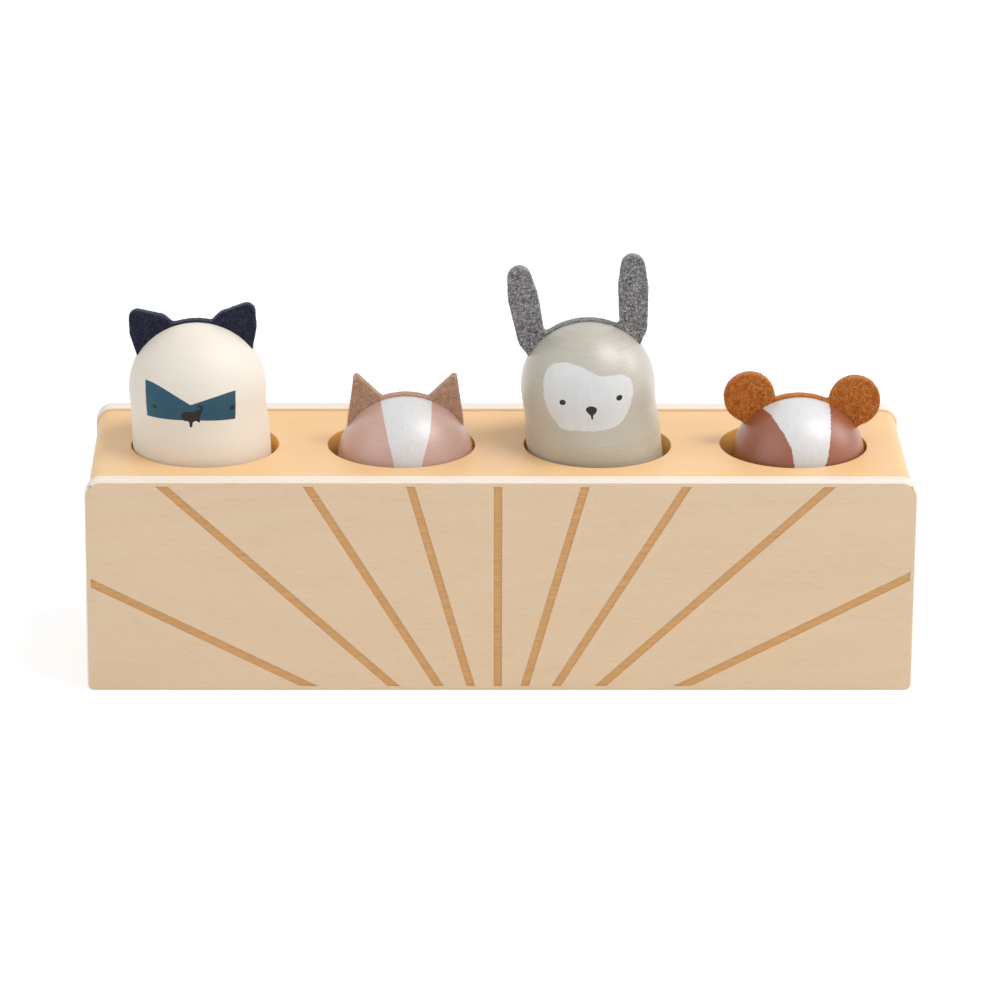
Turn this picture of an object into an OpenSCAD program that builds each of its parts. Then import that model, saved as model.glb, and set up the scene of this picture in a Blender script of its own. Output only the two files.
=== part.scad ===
// Pop-up animal toy: a wooden box with four turned animals in a row. The animals stand in
// pairs on two see-saw rockers inside the box, so pressing one down lifts its neighbour.
// Millimetres. X runs along the row, Y from front to back, Z up. The origin is under the
// middle of the box, on the surface it stands on.

/* [Box] */
// Room between an end wall and the stop disc of the animal beside it
end_gap = 1.7; // [1:0.1:15]
// Depth of the box, both plywood plates included
box_d = 76; // [70:1:100]
// Height of the box
box_h = 67; // [65:1:90]
// Thickness of the plywood front and back plates
plate_t = 6; // [5:0.5:8]
// How far the painted core lies inside the plates' edges
core_recess = 0.8; // [0.4:0.1:1.5]
// Radius of the plates' top corners
top_corner_r = 5; // [3:0.5:8]
// Radius of the plates' bottom corners
foot_corner_r = 2; // [1.6:0.1:4]
// Thickness of the top panel that guides the animals
top_t = 9; // [7:0.5:11]
// Thickness of the bottom panel
bottom_t = 4; // [3:0.5:5]
// Thickness of the end walls
end_t = 8; // [7:0.5:8.5]

/* [Sunburst grooves] */
// Number of rays on each side of the middle one
rays_each_side = 4; // [1:1:5]
// Angle from one ray to the next
ray_step = 15.7; // [12:0.1:17]
// Width of a ray
ray_w = 2.5; // [1:0.1:4]
// Depth of a ray
ray_depth = 0.3; // [0.2:0.1:1]
// How far below the box the rays meet
ray_origin_drop = 27.6; // [20:0.1:40]
// How far to the side of the box's middle they meet
ray_shift = -0.6; // [-3:0.1:3]
// Turn of the whole fan, towards -X when negative
ray_turn = -0.3; // [-2:0.1:2]
// Bare margin between the rays and the plate's edge
ray_margin = 1.5; // [1:0.1:4]

/* [Animals] */
// Distance between the middles of neighbouring animals
hole_pitch = 60; // [56:1:62]
// Radius of an animal's straight base
base_r = 21; // [18:0.1:21.3]
// Radius of the waist below the head
waist_r = 20.6; // [18:0.1:20.9]
// Radius of the round head
head_r = 20.9; // [18:0.1:21.4]
// Play between an animal and its hole, all round
play = 1.5; // [1.3:0.1:1.8]
// Height of a raised animal's crown above the top panel
raised_h = 39.6; // [36:0.1:43]
// Height of the waist above the top panel when the animal is raised
waist_z = 12; // [9:0.5:14]
// Height at which the base starts to draw in, above the top panel
flare_z = 3; // [1:0.5:6]
// Travel from raised to pressed
travel = 24; // [18:1:24]
// Bevel around the foot of an animal and the mouth of its hole
edge_bevel = 0.6; // [0.3:0.1:1]
// Lean of each animal in its play, towards -X when negative, in degrees
animal_lean = [-3.5, -0.3, -6.4, 1.9];
// Sideways place of each animal in its play
animal_shift = [-0.7, 1.3, -0.5, 1.7];
// How much slimmer than the first each animal was turned
animal_slimmer = [0, 0, 0.4, 0.4];
// How much taller or shorter than the row each animal was turned
animal_taller = [-0.2, 0.3, 0.3, 0.1];

/* [Felt ears] */
// Thickness of the felt, and width of the saw slot that holds it
felt_t = 3; // [2:0.5:4]
// How far the felt stands out of the slot between the ears
felt_proud = 0.5; // [0.3:0.1:3]
// Height of the slot's floor above the middle of the head
slot_rise = 11.2; // [9:0.1:14]
// How far from the middle the felt stands out of the slot
strip_reach = 12; // [9:0.5:14]
// Angle from the crown at which the blunt cat ear starts
blunt_start = 17; // [10:1:30]
// Middle of the round tip of the blunt cat ear, from the middle of the head
blunt_tip = [16.6, 23];
// Middle of the round outer side of the blunt cat ear, from the middle of the head
blunt_cheek = [16.7, 18.5];
// Middle of the round inner side of the blunt cat ear, from the middle of the head
blunt_brow = [9.9, 21];
// Radius of the blunt cat ear's rounding
blunt_r = 2.5; // [2:0.1:4]
// Angle from the crown at which the pointed cat ear starts
pointed_start = 20.5; // [10:0.5:30]
// Middle of the round tip of the pointed cat ear, from the middle of the head
pointed_tip = [14.85, 26.6];
// Radius of the pointed cat ear's tip
pointed_r = 0.8; // [0.5:0.1:2]
// Middle of the round tip of the rabbit's ear, from the middle of the head
rabbit_tip = [17.3, 36.1];
// Radius of the rabbit's ear at its tip
rabbit_tip_r = 3.5; // [2:0.1:4]
// Where the rabbit's ear is widest, from the middle of the head
rabbit_widest = [16.8, 29.5];
// Half the width of the rabbit's ear
rabbit_ear_r = 4.5; // [4:0.1:6]
// Middle of the rabbit's ear above the slot's floor, from the middle of the head
rabbit_root = [15.6, 17];
// Radius of the rabbit's ear above the slot's floor
rabbit_root_r = 4.1; // [3:0.1:5]
// Radius of the bear's ear
bear_ear_r = 7.7; // [6:0.1:9]
// Angle from the crown to the middle of the bear's ear
bear_ear_angle = 39.4; // [30:0.1:42]
// Distance from the middle of the head to the middle of the bear's ear
bear_ear_out = 25.4; // [24:0.1:27]
// Radius of the small corners of a cut-out
ear_corner_r = 0.8; // [0.4:0.1:1.2]
// Radius of the hollow where an ear runs into the strip
ear_fillet = 0.8; // [0.3:0.1:2]

/* [Mechanism] */
// Radius of the pivot rods
rod_r = 3; // [2.5:0.1:3.5]
// Running clearance around a pivot rod in its rocker
rod_play = 0.05; // [0.02:0.01:0.1]
// How deep rods and dowels enter the plates
plate_seat = 4; // [3:0.5:4.5]
// Radius of the rounded nose at each end of a rocker
nose_r = 4; // [3.5:0.1:4.5]
// Thickness of a rocker's beam
beam_t = 5; // [4:0.5:6]
// Width of a rocker's beam, front to back
beam_w = 20; // [14:1:30]
// Radius of a rocker's hub
hub_r = 6; // [5.5:0.1:6.5]
// Gap at each end of the hub, beside the plates
hub_end_gap = 0.4; // [0.3:0.1:0.8]
// Gap that is left wherever a moving piece comes to rest
rest_gap = 0.3; // [0.3:0.05:0.5]
// Thickness of the stop disc under an animal
disc_t = 4; // [3:0.5:4.5]
// How far the stop disc reaches past the hole's edge
disc_lap = 2; // [1.5:0.1:2.5]
// Radius of the dowel that rests on the rocker
push_r = 4; // [3:0.5:4.5]
// How deep the push dowel enters the animal
push_seat = 14; // [10:1:18]

/* [Plate dowels] */
// Radius of the dowels that key the plates to the end walls
dowel_r = 2.5; // [2:0.5:2.5]
// Length of such a dowel
dowel_l = 20; // [14:1:24]
// Distance of the dowels from an end wall's top and bottom
dowel_inset = 11; // [6:1:14]
// Glue gap around every fixed rod and dowel
glue_gap = 0.05; // [0.02:0.01:0.1]

/* [Hidden] */

$fn = 96;
hull_fn = 32;               // sides of a circle inside a hull
through = 1;                // how far a cutter runs past the face it cuts

// Places in the row, and which animals are raised
WHITE_CAT = 0;
PINK_CAT = 1;
RABBIT = 2;
BEAR = 3;
ANIMALS = [WHITE_CAT, PINK_CAT, RABBIT, BEAR];
raised = [true, false, true, false];
last_hole_x = (len(ANIMALS) - 1) / 2 * hole_pitch;
function hole_x(i) = i * hole_pitch - last_hole_x;
hole_r = base_r + play;
disc_r = hole_r + disc_lap;

// The painted core between the plates: long enough for the row of stop discs
core_w = 2 * (last_hole_x + disc_r + end_gap + end_t);
box_w = core_w + 2 * core_recess;
core_d = box_d - 2 * plate_t;
core_top_z = box_h - core_recess;
core_bottom_z = core_recess;
underside_z = core_top_z - top_t;
floor_z = core_bottom_z + bottom_t;
far = 3 * box_w;            // longer than anything in the box

// The see-saw: its arm reaches from the pivot to the middle of each animal
arm = hole_pitch / 2;
swing = asin(travel / 2 / arm);
pivot_z = floor_z + rest_gap + nose_r + travel / 2;
hub_l = core_d - 2 * hub_end_gap;
rod_l = core_d + 2 * plate_seat;

// Animal i, measured along its own axis from the top panel's upper face when it is raised
function slim(i, r) = r - animal_slimmer[i];
function head_z(i) = raised_h + animal_taller[i] - slim(i, head_r);

// The gap under a flat face of radius r that leans with animal i
function lean_room(i, r) = rest_gap + r * sin(abs(animal_lean[i]));

// The two animals of a pair stand on equally low feet, so that one balances the other
function partner(i) = raised[i] ? i + 1 : i - 1;
function foot_z(i) = -top_t - max(lean_room(i, disc_r), lean_room(partner(i), disc_r));
function push_end_z(i) = pivot_z + travel / 2 + nose_r + lean_room(i, push_r) - core_top_z;

// ---- Outlines -------------------------------------------------------------------------

// A standing rectangle with its foot on the X axis and round corners
module round_slab(w, h, upper_r, lower_r) {
    translate([-w / 2, lower_r]) square([w, h - upper_r - lower_r]);
    translate([lower_r - w / 2, 0]) square([w - 2 * lower_r, h / 2]);
    translate([upper_r - w / 2, h / 2]) square([w - 2 * upper_r, h / 2]);
    for (side = [-1, 1]) {
        translate([side * (w / 2 - lower_r), lower_r]) circle(lower_r);
        translate([side * (w / 2 - upper_r), h - upper_r]) circle(upper_r);
    }
}

// An outline in X and Z, given a thickness from y0 to y0 + t
module upright(y0, t) {
    translate([0, y0 + t, 0]) rotate([90, 0, 0]) linear_extrude(t) children();
}

module sunburst() {
    intersection() {
        translate([0, ray_margin])
            round_slab(box_w - 2 * ray_margin, box_h - 2 * ray_margin,
                       top_corner_r - ray_margin / 2, foot_corner_r - ray_margin / 2);
        translate([ray_shift, -ray_origin_drop]) rotate(-ray_turn)
            for (i = [-rays_each_side:rays_each_side])
                rotate(-i * ray_step) translate([-ray_w / 2, 0]) square([ray_w, far]);
    }
}

// ---- Box ------------------------------------------------------------------------------

// Blind holes in a plate's inner face, at y, running towards the outside (dir -1 or 1)
module plate_seats(y, dir) {
    length = plate_seat + through;
    y0 = dir > 0 ? y - through : y - plate_seat;
    for (side = [-1, 1])
        translate([side * hole_pitch, y0, pivot_z])
            rotate([-90, 0, 0]) cylinder(h = length, r = rod_r + glue_gap);
    at_dowels() translate([0, y0, 0])
        rotate([-90, 0, 0]) cylinder(h = length, r = dowel_r + glue_gap);
}

module at_dowels() {
    for (side = [-1, 1], z = [floor_z + dowel_inset, underside_z - dowel_inset])
        translate([side * (core_w - end_t) / 2, 0, z]) children();
}

module plate(y0) {
    upright(y0, plate_t) round_slab(box_w, box_h, top_corner_r, foot_corner_r);
}

module front_plate() {
    color("burlywood") difference() {
        plate(-box_d / 2);
        upright(-box_d / 2 - through, through + ray_depth) sunburst();
        plate_seats(-core_d / 2, -1);
    }
}

module back_plate() {
    color("burlywood") difference() {
        plate(core_d / 2);
        plate_seats(core_d / 2, 1);
    }
}

// The slice of the core between two heights
module core_slice(z0, z1) {
    intersection() {
        upright(-core_d / 2, core_d) translate([0, core_bottom_z])
            round_slab(core_w, core_top_z - core_bottom_z,
                       top_corner_r - core_recess, foot_corner_r - core_recess);
        translate([-box_w / 2, -box_d / 2, z0]) cube([box_w, box_d, z1 - z0]);
    }
}

module top_panel() {
    color("sandybrown") difference() {
        core_slice(underside_z, core_top_z);
        for (i = ANIMALS) translate([hole_x(i), 0, underside_z - through])
            cylinder(h = top_t + 2 * through, r = hole_r);
        for (i = ANIMALS) translate([hole_x(i), 0, core_top_z - edge_bevel])
            cylinder(h = edge_bevel + through, r1 = hole_r, r2 = hole_r + edge_bevel + through);
    }
}

module bottom_panel() {
    color("sandybrown") core_slice(core_bottom_z, floor_z);
}

module end_wall(side) {
    difference() {
        translate([side * (core_w - end_t) / 2 - end_t / 2, -core_d / 2, floor_z])
            cube([end_t, core_d, underside_z - floor_z]);
        at_dowels() for (face = [-1, 1])
            translate([0, face * core_d / 2, 0]) rotate([face * 90, 0, 0])
                translate([0, 0, -through])
                    cylinder(h = dowel_l - plate_seat + through, r = dowel_r + glue_gap);
    }
}

module left_end() {
    color("sandybrown") end_wall(-1);
}

module right_end() {
    color("sandybrown") end_wall(1);
}

module plate_dowels() {
    color("wheat") at_dowels() for (face = [-1, 1])
        translate([0, face * (core_d / 2 + plate_seat), 0]) rotate([face * 90, 0, 0])
            cylinder(h = dowel_l, r = dowel_r);
}

// ---- Mechanism ------------------------------------------------------------------------

module pivot_rod(side) {
    color("wheat") translate([side * hole_pitch, 0, pivot_z])
        rotate([90, 0, 0]) cylinder(h = rod_l, r = rod_r, center = true);
}

module left_pivot_rod() {
    pivot_rod(-1);
}

module right_pivot_rod() {
    pivot_rod(1);
}

// A rocker at rest, tilted so that its left nose is up
module rocker(side) {
    color("tan") translate([side * hole_pitch, 0, pivot_z]) rotate([0, swing, 0])
        difference() {
            union() {
                cube([2 * arm, beam_w, beam_t], center = true);
                for (x = [-arm, arm]) translate([x, 0, 0])
                    rotate([90, 0, 0]) cylinder(h = beam_w, r = nose_r, center = true);
                rotate([90, 0, 0]) cylinder(h = hub_l, r = hub_r, center = true);
            }
            rotate([90, 0, 0])
                cylinder(h = hub_l + 2 * through, r = rod_r + rod_play, center = true);
        }
}

module left_rocker() {
    rocker(-1);
}

module right_rocker() {
    rocker(1);
}

// ---- Animals --------------------------------------------------------------------------

// Puts a piece of animal i into its hole, leaning about the middle of the guiding panel
module in_hole(i) {
    drop = raised[i] ? 0 : travel;
    translate([hole_x(i) + animal_shift[i], 0, core_top_z - top_t / 2])
        rotate([0, animal_lean[i], 0]) translate([0, 0, top_t / 2 - drop]) children();
}

// A smooth step from r0 at z0 to r1 at z1, its last point left to the next stretch
function eased(r0, z0, r1, z1, steps = 6) = [
    for (k = [0:steps - 1]) let (t = k / steps)
        [r0 + (r1 - r0) * (1 - cos(180 * t)) / 2, z0 + (z1 - z0) * t]
];

// Half of the turned outline, from the foot up to the crown
function turned_half(i) =
    let (foot = foot_z(i), head = head_z(i), r = slim(i, head_r), base = slim(i, base_r))
    concat(
        [[0, foot], [base - edge_bevel, foot], [base, foot + edge_bevel]],
        eased(base, flare_z, slim(i, waist_r), waist_z),
        eased(slim(i, waist_r), waist_z, r, head),
        [for (a = [0:5:90]) [r * cos(a), head + r * sin(a)]]
    );

module turned_body(i) {
    in_hole(i) difference() {
        rotate_extrude() polygon(turned_half(i));
        translate([-far / 2, -felt_t / 2, head_z(i) + slot_rise]) cube([far, felt_t, far]);
        translate([0, 0, foot_z(i) - through])
            cylinder(h = push_seat + through, r = push_r + glue_gap);
    }
}

// The felt of one animal: the ears and the strip that joins them, down to the slot's floor.
// The child is the right ear's outline, measured from the middle of the head.
module felt_ears(i) {
    in_hole(i) upright(-felt_t / 2, felt_t) translate([0, head_z(i)])
        offset(r = -ear_fillet) offset(delta = ear_fillet) intersection() {
            union() {
                circle(slim(i, head_r));
                intersection() {
                    circle(slim(i, head_r) + felt_proud);
                    square([2 * strip_reach, far], center = true);
                }
                for (side = [0, 1]) mirror([side, 0]) children();
            }
            translate([-far / 2, slot_rise]) square([far, far]);
        }
}

// A small corner circle just inside the felt strip's edge, at an angle from the crown
module corner_on_strip(i, angle) {
    rotate(-angle) translate([0, slim(i, head_r) + felt_proud - ear_corner_r])
        circle(ear_corner_r, $fn = hull_fn);
}

// A small corner circle where the slot's floor leaves the head, at an ear's outer end
module heel_corner(i) {
    heel_x = sqrt(pow(slim(i, head_r), 2) - slot_rise * slot_rise);
    translate([heel_x - ear_corner_r, slot_rise + ear_corner_r])
        circle(ear_corner_r, $fn = hull_fn);
}

module blunt_ear(i) {
    hull() {
        corner_on_strip(i, blunt_start);
        for (middle = [blunt_brow, blunt_tip, blunt_cheek])
            translate(middle) circle(blunt_r, $fn = hull_fn);
        heel_corner(i);
    }
}

module pointed_ear(i) {
    hull() {
        corner_on_strip(i, pointed_start);
        translate(pointed_tip) circle(pointed_r, $fn = hull_fn);
        heel_corner(i);
    }
}

module rabbit_ear(i) {
    hull() {
        translate(rabbit_tip) circle(rabbit_tip_r, $fn = hull_fn);
        translate(rabbit_widest) circle(rabbit_ear_r, $fn = hull_fn);
        translate(rabbit_root) circle(rabbit_root_r, $fn = hull_fn);
        heel_corner(i);
    }
}

module bear_ear(i) {
    hull() {
        rotate(-bear_ear_angle) translate([0, bear_ear_out]) circle(bear_ear_r, $fn = hull_fn);
        heel_corner(i);
    }
}

module stop_disc(i) {
    in_hole(i) translate([0, 0, foot_z(i) - disc_t]) difference() {
        cylinder(h = disc_t, r = disc_r);
        translate([0, 0, -through])
            cylinder(h = disc_t + 2 * through, r = push_r + glue_gap);
    }
}

module push_dowel(i) {
    end_z = push_end_z(i);
    in_hole(i) {
        translate([0, 0, end_z + edge_bevel])
            cylinder(h = foot_z(i) + push_seat - end_z - edge_bevel, r = push_r);
        translate([0, 0, end_z])
            cylinder(h = edge_bevel, r1 = push_r - edge_bevel, r2 = push_r);
    }
}

module white_cat_body() {
    color("linen") turned_body(WHITE_CAT);
}

module white_cat_ears() {
    color("midnightblue") felt_ears(WHITE_CAT) blunt_ear(WHITE_CAT);
}

module white_cat_stop_disc() {
    color("wheat") stop_disc(WHITE_CAT);
}

module white_cat_push_dowel() {
    color("wheat") push_dowel(WHITE_CAT);
}

module pink_cat_body() {
    color("rosybrown") turned_body(PINK_CAT);
}

module pink_cat_ears() {
    color("peru") felt_ears(PINK_CAT) pointed_ear(PINK_CAT);
}

module pink_cat_stop_disc() {
    color("wheat") stop_disc(PINK_CAT);
}

module pink_cat_push_dowel() {
    color("wheat") push_dowel(PINK_CAT);
}

module rabbit_body() {
    color("silver") turned_body(RABBIT);
}

module rabbit_ears() {
    color("gray") felt_ears(RABBIT) rabbit_ear(RABBIT);
}

module rabbit_stop_disc() {
    color("wheat") stop_disc(RABBIT);
}

module rabbit_push_dowel() {
    color("wheat") push_dowel(RABBIT);
}

module bear_body() {
    color("sienna") turned_body(BEAR);
}

module bear_ears() {
    color("chocolate") felt_ears(BEAR) bear_ear(BEAR);
}

module bear_stop_disc() {
    color("wheat") stop_disc(BEAR);
}

module bear_push_dowel() {
    color("wheat") push_dowel(BEAR);
}

front_plate();
back_plate();
top_panel();
bottom_panel();
left_end();
right_end();
plate_dowels();
left_pivot_rod();
right_pivot_rod();
left_rocker();
right_rocker();
white_cat_body();
white_cat_ears();
white_cat_stop_disc();
white_cat_push_dowel();
pink_cat_body();
pink_cat_ears();
pink_cat_stop_disc();
pink_cat_push_dowel();
rabbit_body();
rabbit_ears();
rabbit_stop_disc();
rabbit_push_dowel();
bear_body();
bear_ears();
bear_stop_disc();
bear_push_dowel();
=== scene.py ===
# %% [markdown]
# # A pop-up animal toy
#
# The toy is a small wooden box. Two plywood plates are glued to a painted core, and four
# turned animals stand in a row of holes in its top. Inside, two see-saw rockers carry the
# animals in pairs, so one goes down as its neighbour comes up.
#
# The construction arrives ready made as a fixed frame: every piece at its real size and
# place, in metres. This lesson gives the pieces that show their finish, and rebuilds the
# few whose edges or surface need more than the frame holds.

# %% Load the frame
import math
import random

import bmesh
import bpy
import numpy as np
from mathutils import Matrix, Vector, geometry, noise


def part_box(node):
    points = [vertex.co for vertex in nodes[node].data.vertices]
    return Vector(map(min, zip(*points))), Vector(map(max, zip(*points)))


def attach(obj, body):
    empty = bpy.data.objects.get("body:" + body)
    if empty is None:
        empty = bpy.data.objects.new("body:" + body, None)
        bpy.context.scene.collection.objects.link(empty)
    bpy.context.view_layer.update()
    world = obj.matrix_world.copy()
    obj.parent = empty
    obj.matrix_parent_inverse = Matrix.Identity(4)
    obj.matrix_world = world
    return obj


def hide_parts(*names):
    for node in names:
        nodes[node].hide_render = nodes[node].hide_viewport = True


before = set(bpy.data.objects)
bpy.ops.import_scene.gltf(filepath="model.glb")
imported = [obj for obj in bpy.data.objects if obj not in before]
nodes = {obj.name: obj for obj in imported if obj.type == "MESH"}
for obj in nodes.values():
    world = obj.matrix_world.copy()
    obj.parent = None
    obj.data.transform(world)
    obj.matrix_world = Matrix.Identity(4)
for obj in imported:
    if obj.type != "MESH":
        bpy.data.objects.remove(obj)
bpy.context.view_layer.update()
MM = 0.001

# %% [markdown]
# ## The camera
#
# The picture was taken with a long lens from a little above. Fitting the box's edges and
# the rims of its holes to a pinhole camera gave the angles and the distance. A camera can
# be aimed with a Track To constraint, but three angles and a matrix show better what each
# value does: the camera looks along `forward`, and the other two axes follow from it.

# %% Camera
CAMERA_YAW = math.radians(1.194)
CAMERA_PITCH = math.radians(19.322)
CAMERA_ROLL = math.radians(0.433)
CAMERA_DISTANCE = 1656.4 * MM
CAMERA_TARGET = Vector((0.3, 0.0, 48.0)) * MM
CAMERA_LENS = 194.1


def aim_camera():
    forward = Vector((
        math.sin(CAMERA_YAW) * math.cos(CAMERA_PITCH),
        math.cos(CAMERA_YAW) * math.cos(CAMERA_PITCH),
        -math.sin(CAMERA_PITCH),
    ))
    level = Vector((math.cos(CAMERA_YAW), -math.sin(CAMERA_YAW), 0.0))
    upright = level.cross(forward)
    right = level * math.cos(CAMERA_ROLL) + upright * math.sin(CAMERA_ROLL)
    up = upright * math.cos(CAMERA_ROLL) - level * math.sin(CAMERA_ROLL)
    turn = Matrix((right, up, -forward)).transposed().to_4x4()
    place = CAMERA_TARGET - forward * CAMERA_DISTANCE
    data = bpy.data.cameras.new("camera")
    data.lens = CAMERA_LENS
    data.sensor_width = 36.0
    data.clip_end = 20.0
    camera = bpy.data.objects.new("camera", data)
    camera.matrix_world = Matrix.Translation(place) @ turn
    bpy.context.scene.collection.objects.link(camera)
    bpy.context.scene.camera = camera
    return camera


camera = aim_camera()
print("camera at", [round(v, 3) for v in camera.matrix_world.translation])

# %% [markdown]
# ## Node helpers
#
# A material is a graph of small nodes. Written out link by link a graph is long and hard to
# follow, so `Graph` keeps one node tree and gives each kind of node a short method. A number
# or a colour given as an input is typed in, and a socket is linked.


# %% A small graph writer
class Graph:
    def __init__(self, tree):
        self.tree = tree

    def node(self, kind, out=0, settings=None, **inputs):
        made = self.tree.nodes.new(kind)
        for name, value in (settings or {}).items():
            setattr(made, name, value)
        self.fill(made, **inputs)
        return made.outputs[out]

    def fill(self, node, **inputs):
        """Feeds a node's inputs by name, or by number as in i0."""
        for name, value in inputs.items():
            numbered = name[0] == "i" and name[1:].isdigit()
            key = int(name[1:]) if numbered else name.replace("_", " ")
            self.feed(node.inputs[key], value)

    def feed(self, socket, value):
        if isinstance(value, bpy.types.NodeSocket):
            self.tree.links.new(value, socket)
        elif isinstance(value, tuple) and len(value) == 3 and socket.type == "RGBA":
            socket.default_value = (*value, 1.0)
        else:
            socket.default_value = value

    def math(self, operation, a, b=0.0, clamp=False):
        settings = {"operation": operation, "use_clamp": clamp}
        return self.node("ShaderNodeMath", 0, settings, i0=a, i1=b)

    def times(self, a, b, clamp=False):
        return self.math("MULTIPLY", a, b, clamp)

    def plus(self, a, b):
        return self.math("ADD", a, b)

    def mix(self, factor, a, b):
        return self.node("ShaderNodeMix", 2, {"data_type": "RGBA"}, i0=factor, i6=a, i7=b)

    def remap(self, value, low, high, to_low=0.0, to_high=1.0, smooth=False):
        settings = {"interpolation_type": "SMOOTHSTEP" if smooth else "LINEAR"}
        return self.node("ShaderNodeMapRange", 0, settings, Value=value, From_Min=low,
                         From_Max=high, To_Min=to_low, To_Max=to_high)

    def noise(self, where, waves, detail=3.0, rough=0.5, out=0):
        """Waves is a number per metre, or one for each of X, Y and Z."""
        if isinstance(waves, tuple):
            where = self.node("ShaderNodeVectorMath", 0, {"operation": "MULTIPLY"},
                              i0=where, i1=waves)
            waves = 1.0
        return self.node("ShaderNodeTexNoise", out, None, Vector=where, Scale=waves,
                         Detail=detail, Roughness=rough)

    def push(self, where, noise, reach):
        """Moves a place by a noise's colour, times a reach in metres for each axis."""
        return self.node("ShaderNodeVectorMath", 0, {"operation": "MULTIPLY_ADD"},
                         i0=noise, i1=reach, i2=where)

    def coordinates(self, kind="Object"):
        return self.node("ShaderNodeTexCoord", kind)

    def part(self, vector, axis):
        return self.node("ShaderNodeSeparateXYZ", axis, None, Vector=vector)

    def turned(self, where, axis):
        """A place turned a quarter round X, Y or Z."""
        return self.node("ShaderNodeVectorRotate", 0, {"rotation_type": axis + "_AXIS"},
                         Vector=where, Angle=math.radians(90))

    def bump(self, height, strength, depth):
        return self.node("ShaderNodeBump", 0, None, Height=height, Strength=strength,
                         Distance=depth)

    def group(self, tree, **inputs):
        """Places a node group and gives its outputs."""
        made = self.tree.nodes.new("ShaderNodeGroup")
        made.node_tree = tree
        self.fill(made, **inputs)
        return made.outputs


print("graph writer:", *[name for name in vars(Graph) if name[0] != "_"])


# %% New groups and materials
def new_group(name, inputs, outputs):
    """A node group with its sockets, and a Graph to fill it."""
    tree = bpy.data.node_groups.new(name, "ShaderNodeTree")
    for label, kind, value in inputs:
        socket = tree.interface.new_socket(label, in_out="INPUT", socket_type=kind)
        if value is not None:
            socket.default_value = value
    for label, kind in outputs:
        tree.interface.new_socket(label, in_out="OUTPUT", socket_type=kind)
    entry = tree.nodes.new("NodeGroupInput")
    leave = tree.nodes.new("NodeGroupOutput")
    return tree, Graph(tree), entry.outputs, leave


def new_material(name):
    material = bpy.data.materials.new(name)
    material.use_nodes = True
    graph = Graph(material.node_tree)
    shader = material.node_tree.nodes["Principled BSDF"]
    return material, graph, shader


FLOAT = "NodeSocketFloat"
VECTOR = "NodeSocketVector"
COLOUR = "NodeSocketColor"
print("socket kinds:", FLOAT, VECTOR, COLOUR)

# %% [markdown]
# ## Shared effects
#
# Three effects are used again and again on this toy, so each is a node group:
#
# * **wood grain** draws three things: the year rings that a flat-sawn face shows, which are
#   the contour lines of a smooth noise, then long fibres, then short dark and pale dashes.
#   It takes a vector whose X runs along the grain, so it serves the plates and the dowels.
# * **brush marks** are the faint streaks and the orange-peel unevenness that paint leaves.
# * **felt** mixes light and dark fibres into a mottled colour and a fuzzy height.

# %% Wood grain
# Waves per metre: along the grain first, then across it twice.
GRAIN_BEND = (9.0, 30.0, 30.0)
GRAIN_RINGS = (5.0, 24.0, 24.0)
GRAIN_CLOUDS = (9.0, 60.0, 60.0)
GRAIN_FIBRES = (55.0, 1500.0, 1500.0)
GRAIN_DASHES = (330.0, 2600.0, 2600.0)
BEND_REACH = (0.0, 6.0 * MM, 6.0 * MM)
RINGS_PER_RISE = 13.0


def wood_grain_group():
    tree, g, inp, leave = new_group(
        "wood grain",
        [("Where", VECTOR, None), ("Light", COLOUR, (0.8, 0.6, 0.4, 1)),
         ("Dark", COLOUR, (0.6, 0.4, 0.25, 1)), ("Contrast", FLOAT, 1.0)],
        [("Colour", COLOUR), ("Height", FLOAT), ("Pores", FLOAT)])
    where = inp["Where"]
    bent = g.push(where, g.noise(where, GRAIN_BEND, 2.0, out=1), BEND_REACH)
    field = g.noise(bent, GRAIN_RINGS, 1.0, 0.4)
    rings = g.math("PINGPONG", g.times(field, RINGS_PER_RISE), 0.5)
    rings = g.math("POWER", g.times(rings, 2.0), 2.0)
    clouds = g.noise(bent, GRAIN_CLOUDS, 3.0, 0.6)
    fibres = g.noise(bent, GRAIN_FIBRES, 4.0, 0.65)
    dashes = g.noise(bent, GRAIN_DASHES, 2.0, 0.6)
    pores = g.remap(dashes, 0.55, 0.72)
    pale = g.remap(dashes, 0.45, 0.3)
    tone = g.plus(g.times(clouds, 0.3), g.times(fibres, 0.5))
    tone = g.plus(tone, g.times(rings, 0.1))
    tone = g.remap(tone, 0.34, 0.62)
    tone = g.times(tone, inp["Contrast"])
    tone = g.plus(tone, g.times(pores, 0.3))
    tone = g.math("SUBTRACT", tone, g.times(pale, 0.2), clamp=True)
    g.fill(leave, Colour=g.mix(tone, inp["Light"], inp["Dark"]),
           Height=g.math("SUBTRACT", fibres, pores), Pores=pores)
    return tree


wood_grain = wood_grain_group()
print("wood grain:", len(wood_grain.nodes), "nodes")

# %% Brush marks
# Waves per metre. A streak is long in X and Y and narrow in Z.
PAINT_CLOUDS = 55.0
PAINT_STREAKS = (60.0, 60.0, 1400.0)
PAINT_PEEL = 1300.0


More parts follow.
